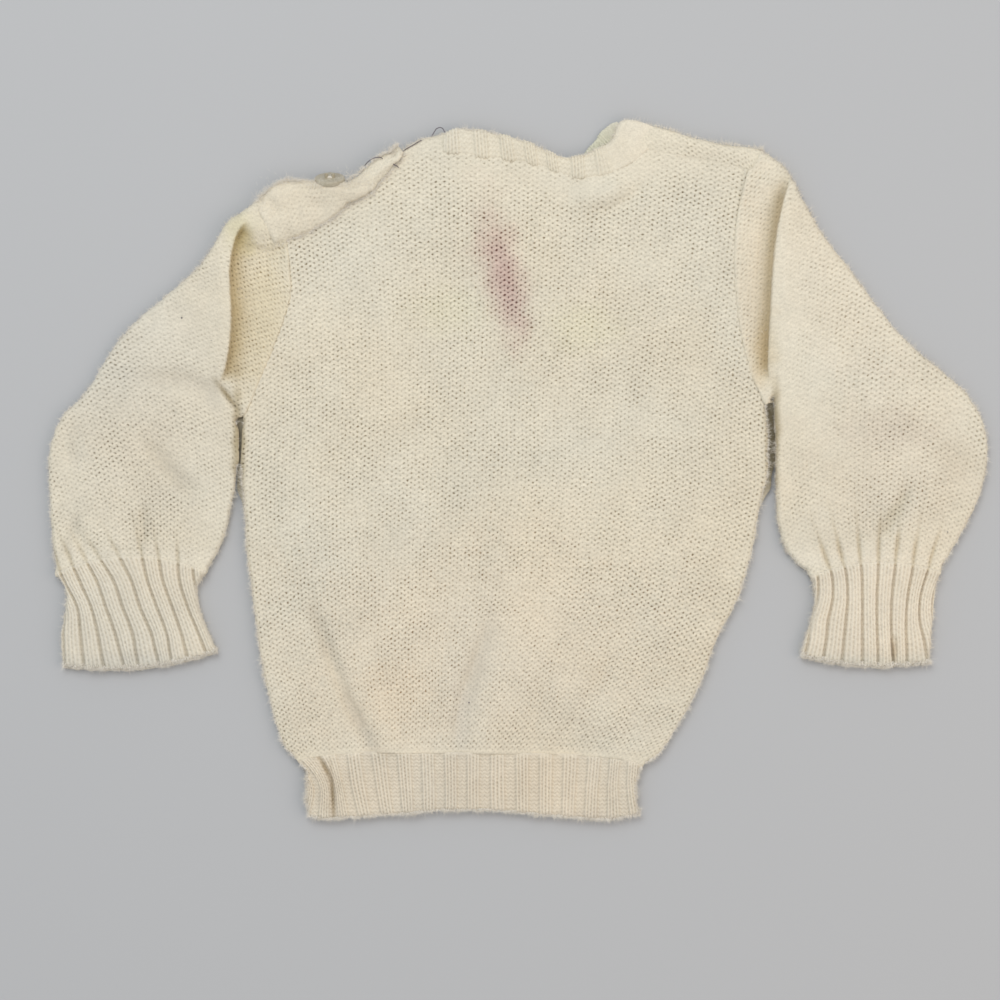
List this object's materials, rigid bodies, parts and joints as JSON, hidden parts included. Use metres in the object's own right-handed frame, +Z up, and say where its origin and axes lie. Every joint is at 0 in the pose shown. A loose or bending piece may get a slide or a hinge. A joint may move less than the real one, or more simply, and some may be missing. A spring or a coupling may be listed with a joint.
{
  "type": "darned wool sweater",
  "caption": "Baby's hand-knitted cream wool pullover, worn, stained and mended, laid flat back up, with long sleeves, ribbed hem, cuffs and neck, and a buttoned shoulder.",
  "frame": {"origin": "on the table, at the centre of the garment's bounding box", "axes": "+Z up from the table, out of the back of the garment; +Y towards the neck; +X towards the wearer's right sleeve, which lies to the viewer's right with the back up"},
  "size_m": [0.4701, 0.3504, 0.0145],
  "materials": {
    "cream_wool": "soft hand-knitted wool, openwork stitch, slightly fuzzy, yellowed and stained with age",
    "cream_rib": "soft hand-knitted wool rib, slightly fuzzy",
    "button_plastic": "worn beige horn-like plastic, low gloss",
    "mending_thread": "matt dark mending thread"
  },
  "bodies": {
    "root": {"front_panel": "cream_wool", "back_panel": "cream_wool", "front_hem_rib": "cream_rib", "back_hem_rib": "cream_rib", "left_sleeve": "cream_wool", "right_sleeve": "cream_wool", "left_cuff": "cream_rib", "right_cuff": "cream_rib", "front_neckband": "cream_rib", "back_neckband": "cream_rib", "front_right_shoulder": "cream_wool", "buttonhole_band": "cream_wool", "button_band": "cream_rib", "shoulder_button": "button_plastic"}
  },
  "joints": []
}
